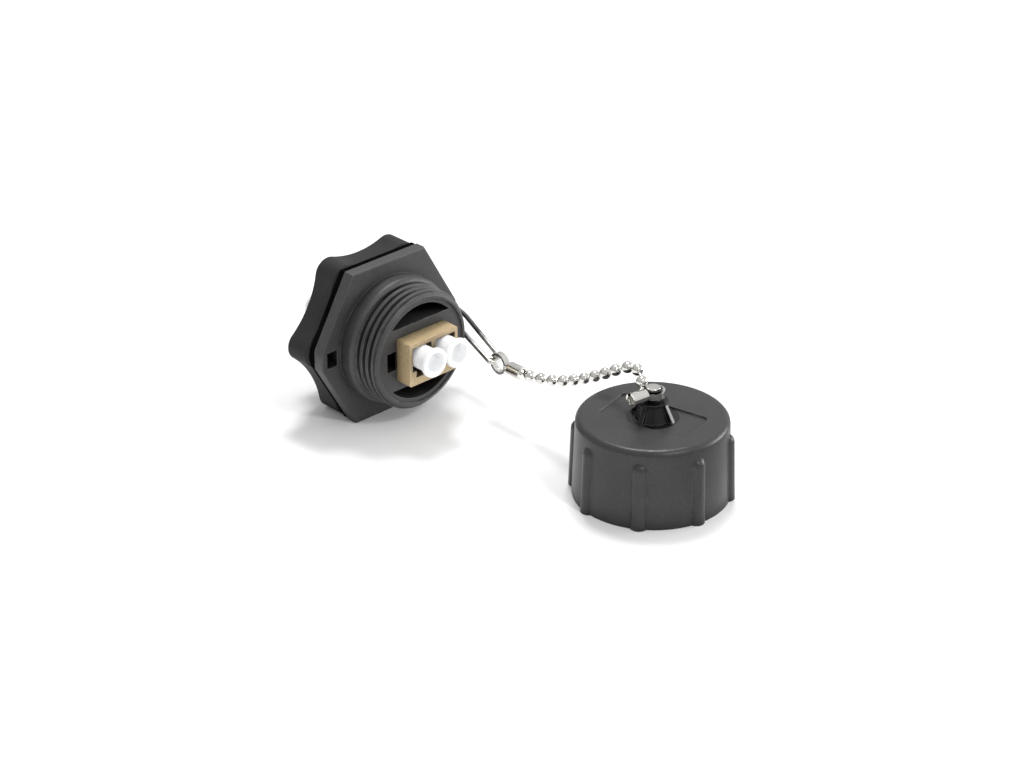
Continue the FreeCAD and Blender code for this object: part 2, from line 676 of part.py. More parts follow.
def pin():
    """A dumbbell pin along X, from the centre of its first head."""
    neck = 180 - math.degrees(math.asin(PIN_R / PIN_HEAD_R))
    head = ball_profile(PIN_HEAD_R, 0, neck, HEAD_STEPS)
    far = [Vector(PIN_SPAN - point.x, point.y, 0) for point in reversed(head)]
    return spin(head + far, Vector(0, 0, 0), X)


def coupling(shell_from, shell_end, slot_from, slot_turn):
    """Sheet-metal coupling along X: an eye round Y at the origin and a slotted shell for a bead."""
    bore_r = BEAD_R + SHELL_GRIP
    shell_r = bore_r + SHELL_T
    inside = EYE_R - EYE_T
    eye = rod(EYE_R, -EYE_W / 2, EYE_W / 2)
    shell = Part.makeCylinder(shell_r, shell_end - shell_from, Vector(shell_from, 0, 0), X)
    throat = Part.makeCone(EYE_W / 2, shell_r, shell_from - inside, Vector(inside, 0, 0), X)
    body = eye.fuse([shell, throat])
    body = body.cut(rod(inside, -EYE_W - OVER, EYE_W + OVER))
    bore_from, bore_end = shell_from + SHELL_T, shell_end - SHELL_T
    body = body.cut(Part.makeCylinder(bore_r, bore_end - bore_from, Vector(bore_from, 0, 0), X))
    body = body.cut(Part.makeCylinder(SHELL_MOUTH_R, OVER, Vector(bore_end - SHELL_T, 0, 0), X))
    slot = box(slot_from, shell_end + OVER, -SHELL_SLOT / 2, SHELL_SLOT / 2, 0, shell_r + OVER)
    slot.rotate(Vector(0, 0, 0), X, slot_turn)
    return tidy(body.cut(slot))


def set_coupling(shape, centre, direction, eye_axis):
    shape.Placement = Placement(centre, Rotation(direction, eye_axis, Z, "XYZ"))
    return shape


def tether_coupling():
    shape = coupling(SHELL_FROM, SHELL_END, SLOT_FROM, BODY_SLOT_TURN)
    return set_coupling(shape, body_eye(), pin_direction(*COUPLING_ANGLES), X)


def cap_coupling():
    """Its slot is turned so that the last pin leaves through it."""
    direction = cap_shell_direction()
    leaving = chain_route()[1][-1] * -1
    slot_turn = math.degrees(math.atan2(-leaving.dot(Z), leaving.dot(direction.cross(Z))))
    shape = coupling(CAP_SHELL_FROM, CAP_SHELL_END, CAP_SLOT_FROM, slot_turn)
    return set_coupling(shape, cap_eye(), direction, Z)


def chain_nodes():
    centres, pins, axes = chain_route()
    ball, link = bead(), pin()
    nodes = {}
    for k, centre in enumerate(centres):
        nodes["chain_bead_%02d" % (k + 1)] = aim(ball, centre, axes[k])
    for k, along in enumerate(pins):
        nodes["chain_pin_%02d" % (k + 1)] = aim(link, centres[k] + axes[k] * PIN_SEAT, along)
    return nodes


def all_nodes():
    left, right = port_x()
    nodes = {
        "housing": housing(),
        "flange_gasket": flange_gasket(),
        "lock_nut": lock_nut(),
        "adapter_front_shell": adapter_front_shell(),
        "adapter_rear_shell": adapter_rear_shell(),
        "split_sleeve_left": split_sleeve(left),
        "split_sleeve_right": split_sleeve(right),
        "panel_clip": panel_clip(),
        "dust_cap_front_left": dust_cap(left, True),
        "dust_cap_front_right": dust_cap(right, True),
        "dust_cap_rear_left": dust_cap(right, False),
        "dust_cap_rear_right": dust_cap(left, False),
        "screw_cap": screw_cap(),
        "cap_gasket": cap_gasket(),
        "tether_loop": tether_loop(),
        "tether_coupling": tether_coupling(),
        "cap_coupling": cap_coupling(),
    }
    nodes.update(chain_nodes())
    return nodes


os.makedirs("parts", exist_ok=True)
for name, shape in all_nodes().items():
    shape.exportStep("parts/%s.step" % name)
    print(name, shape.isValid(), len(shape.Solids), round(shape.Volume, 3))
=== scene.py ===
"""Looks of the panel-mount duplex LC fibre adapter, its ball chain and its screw cap.

Lengths are in metres, in the part's own frame: the adapter's axis runs along Y and its front faces -Y.
"""
import json
import math

import bmesh
import bpy
from mathutils import Matrix, Vector


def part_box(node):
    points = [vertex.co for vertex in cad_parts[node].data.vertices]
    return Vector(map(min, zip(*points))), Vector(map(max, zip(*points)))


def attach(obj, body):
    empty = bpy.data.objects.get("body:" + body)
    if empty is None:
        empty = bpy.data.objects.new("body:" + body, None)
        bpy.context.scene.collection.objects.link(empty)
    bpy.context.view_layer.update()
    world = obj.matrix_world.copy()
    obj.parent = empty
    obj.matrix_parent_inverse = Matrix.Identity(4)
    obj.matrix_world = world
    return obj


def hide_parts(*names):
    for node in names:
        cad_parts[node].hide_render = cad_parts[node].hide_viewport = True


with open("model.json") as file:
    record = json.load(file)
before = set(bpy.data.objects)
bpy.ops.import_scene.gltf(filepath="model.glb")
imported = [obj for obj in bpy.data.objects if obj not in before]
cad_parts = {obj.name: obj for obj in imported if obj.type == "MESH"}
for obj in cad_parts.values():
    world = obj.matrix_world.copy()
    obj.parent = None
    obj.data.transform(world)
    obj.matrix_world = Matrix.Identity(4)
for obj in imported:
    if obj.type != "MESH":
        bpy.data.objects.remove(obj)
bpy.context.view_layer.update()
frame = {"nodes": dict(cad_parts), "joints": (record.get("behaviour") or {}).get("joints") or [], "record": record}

MM = 0.001

# ---- view and light ----
VIEW_AZIMUTH = -43.64
VIEW_ELEVATION = 27.63
VIEW_DISTANCE = 651.27 * MM
VIEW_AIM = Vector((12.35, -25.0, -6.95)) * MM
LENS = 113.96
FLOOR_SIZE = 6.0
DOME_WAY = (0.35, -0.35, 0.87)           # the dome is brightest this way
DOME_GLOW = (0.27, 0.8)                # its strength away from that way and along it
DOME_GAP_SIDE = (0.724, -0.69, 0.0)     # a dark gap between two soft boxes: across it
DOME_GAP_WAY = (-0.69, -0.724, 0.0)     # and the side of the zenith that it is on
FLOOR_SHADE_WAY = (0.55, -0.84, 0.0)    # the way of the floor's painted dark reflection: glossy rays see it dark there
FLOOR_SHADE = (0.07, 0.12)              # metres along that way where it starts and is full

# ---- sizes of what is modelled here ----
JOIN = 0.002 * MM               # loose corners nearer than this are one corner
SMOOTH_ANGLE = math.radians(32)
SPIGOT_R = 12.35 * MM
SPIGOT_PITCH = 1.5 * MM
SPIGOT_GROOVE = 0.6 * MM        # depth of the panel thread
SPIGOT_SPARE = 0.03 * MM        # how far the cutter stands out of the spigot
SPIGOT_FLANK = 0.98             # half width of a groove for each unit of its depth
SPIGOT_LEAD = 0.6               # turns of plain spigot behind the gasket
THREAD_STEPS = 72               # faces in one turn of a thread
CAP_PITCH = 1.7 * MM
CAP_BORE_R = 12.9 * MM
CAP_RIDGE = 0.6 * MM
CAP_RIDGE_FOOT = 0.55 * MM
CAP_RIDGE_TOP = 0.25 * MM
CAP_THREAD_FROM = 1.1 * MM      # above the cap's rim
CAP_TURNS = 2.25
CAP_THREAD_STEPS = 96
CAP_THREAD_SINK = 0.1 * MM      # ridge's foot inside the cap's wall
FINGER_T = 0.3 * MM             # the leaves in the side notches
FINGER_H = 3.9 * MM
FINGER_ROOT = 0.6 * MM
FINGER_EDGE = 0.05 * MM
FINGER_BENDS = ((0, -2.05 * MM, 0), (0.3 * MM, -0.4 * MM, 0))
# the rivet's outline from its middle to its lower edge: radius and rise over the post's top, in mm
RIVET_RINGS = ((0.02, 0.14), (0.7, 0.13), (1.15, 0.1), (1.38, 0.04), (1.46, -0.05), (1.48, -0.13),
               (1.44, -0.17), (0.02, -0.17))
RIVET_SEGMENTS = 48
BEAD_HOLE_R = 0.5 * MM
BEAD_WALL = 0.18 * MM
BEAD_EDGE = 0.05 * MM
BEAD_EDGE_ANGLE = 50
BEAD_SEGMENTS = 32
BEAD_RINGS = 24
PIN_R = 0.2 * MM
PIN_HEAD_R = 0.5 * MM
PIN_SEGMENTS = 16
PIN_HEAD_STEPS = 6
PIN_TIP = 0.02                  # radians that a head's first ring is off its pole
RIM_EDGE = 0.28 * MM
CORNER_REACH = 4.5 * MM         # how far out of a corner the painted shade reaches
WIRE_PAINTED_GLINT = (9.0 * MM, 15.5 * MM)       # in front of the panel: where the wire's painted highlight starts and is full
POST_REACH = 5.2 * MM           # the polished post's reach from the cap's axis
POST_FOOT = 16.2 * MM           # and its foot above the floor
POST_BLEND = 0.1 * MM
POST_FOOT_BLEND = 0.03 * MM
POLISHED_BLACK = (0.008, 0.008, 0.009)
POLISHED_GLOSS = 0.17
DUST_WALL_R = 2.5 * MM
DUST_DIMPLE_R = 2.15 * MM
DUST_DIMPLE = 1.7 * MM          # depth of the dished end
DUST_END_WALL = 0.6 * MM
DUST_RIM_T = 1.05 * MM
DUST_BORE_R = 1.9 * MM
NEAR_AXIS = 0.02                # a turned form's smallest ring, as a part of the next one


# ---- hand tools ----
def deselect():
    bpy.ops.object.select_all(action="DESELECT")


def take(piece):
    deselect()
    piece.select_set(True)
    bpy.context.view_layer.objects.active = piece


def edit(piece, mode):
    """Open a piece for editing, with nothing selected, in VERT, EDGE or FACE mode."""
    take(piece)
    bpy.ops.object.mode_set(mode="EDIT")
    bpy.ops.mesh.select_mode(type=mode)
    bpy.ops.mesh.select_all(action="DESELECT")


def pick(piece, kind, test):
    """Select the faces, edges or corners of the open piece whose place passes a test."""
    mesh = bmesh.from_edit_mesh(piece.data)
    if kind == "FACE":
        for face in mesh.faces:
            face.select_set(test(face.calc_center_median(), face.normal))
    elif kind == "EDGE":
        for line in mesh.edges:
            if test((line.verts[0].co + line.verts[1].co) / 2, line):
                line.select_set(True)
    else:
        for corner in mesh.verts:
            if test(corner.co):
                corner.select_set(True)
    mesh.select_flush_mode()
    bmesh.update_edit_mesh(piece.data)


def close_edit():
    bpy.ops.object.mode_set(mode="OBJECT")


def named(name):
    piece = bpy.context.active_object
    piece.name = name
    piece.data.name = name
    return piece


def settle(piece):
    """Put the piece's place into its mesh."""
    take(piece)
    bpy.ops.object.transform_apply(location=True, rotation=True, scale=True)


def smooth(piece, angle=SMOOTH_ANGLE):
    take(piece)
    bpy.ops.object.shade_smooth_by_angle(angle=angle)


def keep_flats(piece):
    """Let wide flats keep their own normals where a round edge runs into them."""
    take(piece)
    flats = piece.modifiers.new("flats", "WEIGHTED_NORMAL")
    flats.weight = 100
    flats.keep_sharp = True
    bpy.ops.object.modifier_apply(modifier=flats.name)


def outward(piece):
    edit(piece, "FACE")
    bpy.ops.mesh.select_all(action="SELECT")
    bpy.ops.mesh.remove_doubles(threshold=JOIN)
    bpy.ops.mesh.normals_make_consistent(inside=False)
    close_edit()


def apply_all(piece):
    take(piece)
    for modifier in list(piece.modifiers):
        bpy.ops.object.modifier_apply(modifier=modifier.name)


def bevel(piece, width, segments=2, angle=40):
    take(piece)
    tool = piece.modifiers.new("edge_round", "BEVEL")
    tool.width = width
    tool.segments = segments
    tool.limit_method = "ANGLE"
    tool.angle_limit = math.radians(angle)
    tool.use_clamp_overlap = True
    bpy.ops.object.modifier_apply(modifier=tool.name)


def joined_copy(node, name):
    """A copy of a CAD node with its loose triangles joined and its flats made whole."""
    piece = bpy.data.objects.new(name, frame["nodes"][node].data.copy())
    piece.data.name = name
    bpy.context.scene.collection.objects.link(piece)
    piece.data.materials.clear()
    edit(piece, "FACE")
    bpy.ops.mesh.select_all(action="SELECT")
    bpy.ops.mesh.customdata_custom_splitnormals_clear()
    bpy.ops.mesh.remove_doubles(threshold=JOIN)
    bpy.ops.mesh.dissolve_limited(angle_limit=math.radians(0.2))
    close_edit()
    return piece


def turned(name, rings, segments=64):
    """A turned form along Z: a ring is pulled through each radius and height, then closed."""
    radius, height = rings[0]
    bpy.ops.mesh.primitive_circle_add(vertices=segments, radius=radius, location=(0, 0, height))
    piece = named(name)
    settle(piece)
    edit(piece, "EDGE")
    bpy.ops.mesh.select_all(action="SELECT")
    for before, after in zip(rings, rings[1:]):
        bpy.ops.mesh.extrude_edges_move(TRANSFORM_OT_translate={"value": (0, 0, after[1] - before[1])})
        scale = after[0] / before[0]
        bpy.ops.transform.resize(value=(scale, scale, 1), center_override=(0, 0, after[1]))
    bpy.ops.mesh.select_all(action="SELECT")
    bpy.ops.mesh.remove_doubles(threshold=JOIN)
    close_edit()
    return piece


def laid_along(piece, direction, place):
    """Turn a piece modelled along Z to a direction and move it to its place, in its mesh."""
    turn = Vector((0, 0, 1)).rotation_difference(direction).to_matrix().to_4x4()
    piece.data.transform(Matrix.Translation(place) @ turn)
    piece.data.update()


def own_copy(piece, name):
    copy = bpy.data.objects.new(name, piece.data.copy())
    copy.data.name = name
    bpy.context.scene.collection.objects.link(copy)
    return copy


def dress(piece, body, slot, material, *nodes):
    """Give a finished piece its material, its body and the nodes it stands for; the slot argument is not used."""
    if not piece.data.materials:
        piece.data.materials.append(material)
    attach(piece, body)
    if nodes:
        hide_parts(*nodes)
    return piece


# ---- node helpers ----
def new_group(name, inputs, outputs):
    group = bpy.data.node_groups.new(name, "ShaderNodeTree")
    for title, kind, value in inputs:
        socket = group.interface.new_socket(title, in_out="INPUT", socket_type=kind)
        socket.default_value = value
    for title, kind in outputs:
        group.interface.new_socket(title, in_out="OUTPUT", socket_type=kind)
    return group, group.nodes.new("NodeGroupInput"), group.nodes.new("NodeGroupOutput")


def add_node(tree, kind, settings=(), **values):
    node = tree.nodes.new(kind)
    for key, value in settings:
        setattr(node, key, value)
    for title, value in values.items():
        node.inputs[title.replace("_", " ")].default_value = value
    return node


def wire(tree, source, target):
    tree.links.new(source, target)


def noise(tree, vector, scale, detail=2.0, rough=0.5):
    node = add_node(tree, "ShaderNodeTexNoise")
    node.inputs["Scale"].default_value = scale
    node.inputs["Detail"].default_value = detail
    node.inputs["Roughness"].default_value = rough
    wire(tree, vector, node.inputs["Vector"])
    return node.outputs["Fac"]


def spread(tree, value, low, high, to_low=0.0, to_high=1.0):
    """Map a value from low..high to to_low..to_high, held at the ends."""
    node = tree.nodes.new("ShaderNodeMapRange")
    ends = {"From Min": low, "From Max": high, "To Min": to_low, "To Max": to_high}
    for title, number in ends.items():
        node.inputs[title].default_value = number
    wire(tree, value, node.inputs["Value"])
    return node.outputs["Result"]


def math_node(tree, operation, first, second):
    node = tree.nodes.new("ShaderNodeMath")
    node.operation = operation
    for socket, value in zip(node.inputs, (first, second)):
        if isinstance(value, (int, float)):
            socket.default_value = value
        else:
            wire(tree, value, socket)
    return node.outputs[0]


def along_way(tree, vector, way):
    """How far a vector runs along a fixed direction."""
    node = tree.nodes.new("ShaderNodeVectorMath")
    node.operation = "DOT_PRODUCT"
    wire(tree, vector, node.inputs[0])
    node.inputs[1].default_value = way
    return node.outputs["Value"]


def mix_colour(tree, factor, first, second):
    node = tree.nodes.new("ShaderNodeMix")
    node.data_type = "RGBA"
    sockets = [s for s in node.inputs if s.type == "RGBA"]
    for socket, value in zip(sockets, (first, second)):
        if isinstance(value, tuple):
            socket.default_value = (*value, 1)
        else:
            wire(tree, value, socket)
    wire(tree, factor, node.inputs[0])
    return [s for s in node.outputs if s.type == "RGBA"][0]


# ---- shared effects ----
def moulded_grain():
    """Spark-eroded mould grain: fine pits on the surface and faint lighter flecks."""
    group, entry, out = new_group("moulded_grain", [
        ("Vector", "NodeSocketVector", (0, 0, 0)), ("Grain Scale", "NodeSocketFloat", 2600.0),
        ("Depth", "NodeSocketFloat", 0.00003), ("Normal", "NodeSocketVector", (0, 0, 0))],
        [("Flecks", "NodeSocketFloat"), ("Clouds", "NodeSocketFloat"), ("Normal", "NodeSocketVector")])
    place = entry.outputs["Vector"]
    fine = add_node(group, "ShaderNodeTexNoise", Detail=3.0, Roughness=0.65)
    wire(group, place, fine.inputs["Vector"])
    wire(group, entry.outputs["Grain Scale"], fine.inputs["Scale"])
    clouds = noise(group, place, 170.0, 4.0, 0.6)
    bump = add_node(group, "ShaderNodeBump", Strength=0.55)
    wire(group, entry.outputs["Depth"], bump.inputs["Distance"])
    wire(group, fine.outputs["Fac"], bump.inputs["Height"])
    wire(group, entry.outputs["Normal"], bump.inputs["Normal"])
    wire(group, spread(group, fine.outputs["Fac"], 0.42, 0.72), out.inputs["Flecks"])
    wire(group, spread(group, clouds, 0.3, 0.7), out.inputs["Clouds"])
    wire(group, bump.outputs["Normal"], out.inputs["Normal"])
    return group


def edge_rub_and_painted_shade():
    """Rounded edge normal, a broken mask of the rubbed edges, and a mask of painted shade in corners and near
    other pieces and the floor, from ambient occlusion.
    """
    group, entry, out = new_group("edge_rub_and_painted_shade", [
        ("Vector", "NodeSocketVector", (0, 0, 0)), ("Radius", "NodeSocketFloat", 0.0002)],
        [("Rubbed", "NodeSocketFloat"), ("Painted Corner Shade", "NodeSocketFloat"), ("Normal", "NodeSocketVector")])
    # Painted shade: ambient occlusion becomes a mask that darkens corners, hollows and faces near other pieces and
    # the floor.
    corner = add_node(group, "ShaderNodeAmbientOcclusion", (("samples", 4),), Distance=CORNER_REACH)
    wire(group, spread(group, corner.outputs["AO"], 0.8, 0.35), out.inputs["Painted Corner Shade"])
    round_node = group.nodes.new("ShaderNodeBevel")
    round_node.samples = 4
    wire(group, entry.outputs["Radius"], round_node.inputs["Radius"])
    flat = group.nodes.new("ShaderNodeNewGeometry")
    dot = group.nodes.new("ShaderNodeVectorMath")
    dot.operation = "DOT_PRODUCT"
    wire(group, round_node.outputs["Normal"], dot.inputs[0])
    wire(group, flat.outputs["Normal"], dot.inputs[1])
    edge = spread(group, dot.outputs["Value"], 0.985, 0.90)
    patch = spread(group, noise(group, entry.outputs["Vector"], 420.0, 4.0, 0.6), 0.36, 0.62)
    wire(group, math_node(group, "MULTIPLY", edge, patch), out.inputs["Rubbed"])
    wire(group, round_node.outputs["Normal"], out.inputs["Normal"])
    return group


def handling():
    """Faint smears and fine scratches that change the gloss."""
    group, entry, out = new_group("handling", [
        ("Vector", "NodeSocketVector", (0, 0, 0)), ("Smear Scale", "NodeSocketFloat", 90.0)],
        [("Smears", "NodeSocketFloat"), ("Scratches", "NodeSocketFloat")])
    smear = add_node(group, "ShaderNodeTexNoise", Detail=5.0, Roughness=0.55, Distortion=0.6)
    wire(group, entry.outputs["Vector"], smear.inputs["Vector"])
    wire(group, entry.outputs["Smear Scale"], smear.inputs["Scale"])
    stretch = add_node(group, "ShaderNodeMapping")
    stretch.inputs["Scale"].default_value = (3800.0, 260.0, 1500.0)
    stretch.inputs["Rotation"].default_value = (0.4, 0.2, 0.7)
    wire(group, entry.outputs["Vector"], stretch.inputs["Vector"])
    lines = noise(group, stretch.outputs["Vector"], 1.0, 1.0, 0.5)
    wire(group, spread(group, smear.outputs["Fac"], 0.35, 0.7), out.inputs["Smears"])
    wire(group, spread(group, lines, 0.66, 0.74), out.inputs["Scratches"])
    return group


GRAIN = moulded_grain()
RUB_AND_SHADE = edge_rub_and_painted_shade()
HANDLING = handling()


def place_group(tree, group, vector, **values):
    node = tree.nodes.new("ShaderNodeGroup")
    node.node_tree = group
    wire(tree, vector, node.inputs["Vector"])
    for title, value in values.items():
        node.inputs[title.replace("_", " ")].default_value = value
    return node


def new_material(name):
    material = bpy.data.materials.new(name)
    material.use_nodes = True
    tree = material.node_tree
    shader = tree.nodes["Principled BSDF"]
    place = tree.nodes.new("ShaderNodeTexCoord").outputs["Object"]
    return material, tree, shader, place


# ---- frame readings ----
def middle(node):
    low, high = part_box(node)
    return (low + high) / 2


def joint_place(name):
    found = [joint for joint in frame["joints"] if joint["name"] == name][0]
    return Vector(found["pos_m"])


BEADS = sorted(node for node in frame["nodes"] if node.startswith("chain_bead_"))
PINS = sorted(node for node in frame["nodes"] if node.startswith("chain_pin_"))
FLOOR_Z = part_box("screw_cap")[0].z


def body_of_node(node):
    for body, members in frame["record"]["behaviour"]["bodies"].items():
        if node in members:
            return body
    return None


def pivots():
    """Where each bead turns on the head of the pin before it, from the second bead on."""
    found = [joint_place("chain_joint_%02d" % k) for k in range(2, len(BEADS))]
    return found + [joint_place("cap_coupling_swing")]


def cap_centre():
    """The cap's axis, through the middle of its round foot."""
    return middle("cap_gasket")


# ---- finishes ----
def polished_post(tree, place):
    """A mask that is full on the cap's post and empty on the rest of the cap."""
    centre = cap_centre()
    shift = tree.nodes.new("ShaderNodeVectorMath")
    shift.operation = "SUBTRACT"
    wire(tree, place, shift.inputs[0])
    shift.inputs[1].default_value = (centre.x, centre.y, FLOOR_Z)
    parts = tree.nodes.new("ShaderNodeSeparateXYZ")
    wire(tree, shift.outputs["Vector"], parts.inputs[0])
    squares = [math_node(tree, "POWER", parts.outputs[axis], 2.0) for axis in ("X", "Y")]
    away = math_node(tree, "SQRT", math_node(tree, "ADD", *squares), 0.0)
    near = spread(tree, away, POST_REACH, POST_REACH - POST_BLEND)
    above = spread(tree, parts.outputs["Z"], POST_FOOT, POST_FOOT + POST_FOOT_BLEND)
    return math_node(tree, "MULTIPLY", near, above)


def moulded_plastic(name, colour, rubbed, gloss, grain, depth, radius=0.0002, polished=None, shine=0.5):
    """Satin moulded plastic with mould grain, rubbed edges, uneven gloss and painted shade darkening its corners.
    """
    material, tree, shader, place = new_material(name)
    rub_and_shade = place_group(tree, RUB_AND_SHADE, place, Radius=radius)
    skin = place_group(tree, GRAIN, place, Grain_Scale=grain, Depth=depth)
    marks = place_group(tree, HANDLING, place)
    wire(tree, rub_and_shade.outputs["Normal"], skin.inputs["Normal"])
    lighter = tuple(min(1.0, c * 1.45) for c in colour)
    darker = tuple(c * 0.82 for c in colour)
    tone = mix_colour(tree, skin.outputs["Clouds"], darker, colour)
    flecked = mix_colour(tree, math_node(tree, "MULTIPLY", skin.outputs["Flecks"], 0.5), tone, lighter)
    rough = spread(tree, marks.outputs["Smears"], 0.0, 1.0, gloss - 0.05, gloss + 0.06)
    if polished:
        mask = polished(tree, place)
        flecked = mix_colour(tree, mask, flecked, POLISHED_BLACK)
        smoother = math_node(tree, "MULTIPLY", mask, gloss - POLISHED_GLOSS)
        rough = math_node(tree, "SUBTRACT", rough, smoother)
    # Painted shade: the base colour falls to 15 % of itself where the occlusion mask finds corners and nearby
    # faces.
    corner_shaded = mix_colour(tree, rub_and_shade.outputs["Painted Corner Shade"], flecked, tuple(c * 0.15 for c in colour))
    wire(tree, mix_colour(tree, rub_and_shade.outputs["Rubbed"], corner_shaded, rubbed), shader.inputs["Base Color"])
    shader.inputs["Specular IOR Level"].default_value = shine
    rough = math_node(tree, "SUBTRACT", rough, math_node(tree, "MULTIPLY", rub_and_shade.outputs["Rubbed"], 0.12))
    wire(tree, rough, shader.inputs["Roughness"])
    wire(tree, skin.outputs["Normal"], shader.inputs["Normal"])
    return material


def bright_metal(name, colour, tarnish, gloss, wear=0.5):
    """Plated or drawn metal with fine scratches and a thin uneven tarnish."""
    material, tree, shader, place = new_material(name)
    shader.inputs["Metallic"].default_value = 1.0
    marks = place_group(tree, HANDLING, place, Smear_Scale=260.0)
    tone = mix_colour(tree, math_node(tree, "MULTIPLY", marks.outputs["Smears"], wear), colour, tarnish)
    wire(tree, tone, shader.inputs["Base Color"])
    rough = spread(tree, marks.outputs["Scratches"], 0.0, 1.0, gloss, gloss + 0.22)
    rough = math_node(tree, "ADD", rough, math_node(tree, "MULTIPLY", marks.outputs["Smears"], 0.07))
    wire(tree, rough, shader.inputs["Roughness"])
    bump = add_node(tree, "ShaderNodeBump", Strength=0.2, Distance=0.000004)
    wire(tree, marks.outputs["Scratches"], bump.inputs["Height"])
    wire(tree, bump.outputs["Normal"], shader.inputs["Normal"])
    return material


def darkened_wire():
    """Steel wire with a dark oxide coat, painted lighter and more metallic towards its front end as a painted
    highlight.
    """
    material, tree, shader, place = new_material("wire_steel")
    marks = place_group(tree, HANDLING, place, Smear_Scale=500.0)
    # Painted highlight: the wire turns lighter and more metallic towards its front end, broken up by the smears.
    painted_glint = spread(tree, along_way(tree, place, (0, -1, 0)), *WIRE_PAINTED_GLINT)
    patchy = math_node(tree, "ADD", painted_glint, math_node(tree, "MULTIPLY", marks.outputs["Smears"], 0.2))
    painted_glint = spread(tree, patchy, 0.15, 1.0)
    wire(tree, mix_colour(tree, painted_glint, (0.05, 0.05, 0.052), (0.66, 0.65, 0.63)),
         shader.inputs["Base Color"])
    wire(tree, spread(tree, painted_glint, 0.0, 1.0, 0.35, 1.0), shader.inputs["Metallic"])
    wire(tree, spread(tree, marks.outputs["Smears"], 0.0, 1.0, 0.26, 0.38), shader.inputs["Roughness"])
    bump = add_node(tree, "ShaderNodeBump", Strength=0.25, Distance=0.000006)
    wire(tree, marks.outputs["Scratches"], bump.inputs["Height"])
    wire(tree, bump.outputs["Normal"], shader.inputs["Normal"])
    return material


def milky_plastic():
    """Soft white polyethylene of the dust caps, which lets some light through."""
    material, tree, shader, place = new_material("milky_plastic")
    skin = place_group(tree, GRAIN, place, Grain_Scale=900.0, Depth=0.00001)
    rub_and_shade = place_group(tree, RUB_AND_SHADE, place, Radius=0.00018)
    marks = place_group(tree, HANDLING, place)
    wire(tree, rub_and_shade.outputs["Normal"], skin.inputs["Normal"])
    wire(tree, mix_colour(tree, skin.outputs["Clouds"], (0.88, 0.89, 0.9), (0.93, 0.935, 0.94)),
         shader.inputs["Base Color"])
    wire(tree, spread(tree, marks.outputs["Smears"], 0.0, 1.0, 0.28, 0.4), shader.inputs["Roughness"])
    wire(tree, skin.outputs["Normal"], shader.inputs["Normal"])
    shader.inputs["Subsurface Weight"].default_value = 0.55
    shader.inputs["Subsurface Radius"].default_value = (1.0, 0.95, 0.9)
    shader.inputs["Subsurface Scale"].default_value = 0.0012
    return material


def soft_rubber():
    """Black gasket rubber with a dusty bloom."""
    material, tree, shader, place = new_material("gasket_rubber")
    skin = place_group(tree, GRAIN, place, Grain_Scale=1800.0, Depth=0.00002)
    wire(tree, mix_colour(tree, skin.outputs["Clouds"], (0.002, 0.002, 0.002), (0.005, 0.005, 0.005)),
         shader.inputs["Base Color"])
    shader.inputs["Specular IOR Level"].default_value = 0.0
    wire(tree, spread(tree, skin.outputs["Flecks"], 0.0, 1.0, 0.62, 0.8), shader.inputs["Roughness"])
    wire(tree, skin.outputs["Normal"], shader.inputs["Normal"])
    return material


def white_ceramic():
    """Polished ceramic of the alignment sleeves."""
    material, tree, shader, place = new_material("sleeve_ceramic")
    marks = place_group(tree, HANDLING, place)
    wire(tree, mix_colour(tree, marks.outputs["Smears"], (0.86, 0.85, 0.82), (0.92, 0.92, 0.9)),
         shader.inputs["Base Color"])
    wire(tree, spread(tree, marks.outputs["Scratches"], 0.0, 1.0, 0.12, 0.3), shader.inputs["Roughness"])
    return material


HOUSING = moulded_plastic("housing_plastic", (0.045, 0.045, 0.046), (0.18, 0.18, 0.182), gloss=0.5,
                          grain=2300.0, depth=0.0001)
NUT = moulded_plastic("nut_plastic", (0.024, 0.024, 0.025), (0.07, 0.07, 0.072), gloss=0.62,
                      grain=3200.0, depth=0.00003, shine=0.22)
CAP = moulded_plastic("cap_plastic", (0.042, 0.042, 0.043), (0.12, 0.12, 0.122), gloss=0.33,
                      grain=2800.0, depth=0.00005, radius=0.0003, polished=polished_post, shine=0.32)
BEIGE = moulded_plastic("adapter_plastic", (0.5, 0.38, 0.215), (0.72, 0.61, 0.43), gloss=0.4,
                        grain=2000.0, depth=0.00002, radius=0.00025)
NICKEL = bright_metal("chain_nickel", (0.83, 0.82, 0.79), (0.62, 0.60, 0.56), 0.08)
STEEL_WIRE = darkened_wire()
CLIP = bright_metal("clip_steel", (0.035, 0.035, 0.037), (0.02, 0.02, 0.02), 0.3)
MILKY = milky_plastic()
RUBBER = soft_rubber()
CERAMIC = white_ceramic()


# ---- the body ----
def helix_tool(name, section, pitch, turns, steps=THREAD_STEPS):
    """A closed ridge wound round Z from a flat outline of (radius, height) corners."""
    bpy.ops.mesh.primitive_circle_add(vertices=len(section), radius=pitch, fill_type="NGON")
    piece = named(name)
    for corner, (radius, height) in zip(piece.data.vertices, section):
        corner.co = (radius, 0, height)
    winder = piece.modifiers.new("wind", "SCREW")
    winder.axis = "Z"
    winder.angle = 2 * math.pi * turns
    winder.screw_offset = pitch * turns
    winder.iterations = 1
    winder.steps = int(steps * turns)
    winder.render_steps = int(steps * turns)
    winder.use_merge_vertices = False
    apply_all(piece)
    return piece


def close_ends(piece):
    """Fill the two open ends of a wound ridge."""
    edit(piece, "EDGE")
    bpy.ops.mesh.select_non_manifold(extend=False, use_wire=False, use_multi_face=False,
                                     use_non_contiguous=False, use_verts=False)
    bpy.ops.mesh.edge_face_add()
    close_edit()


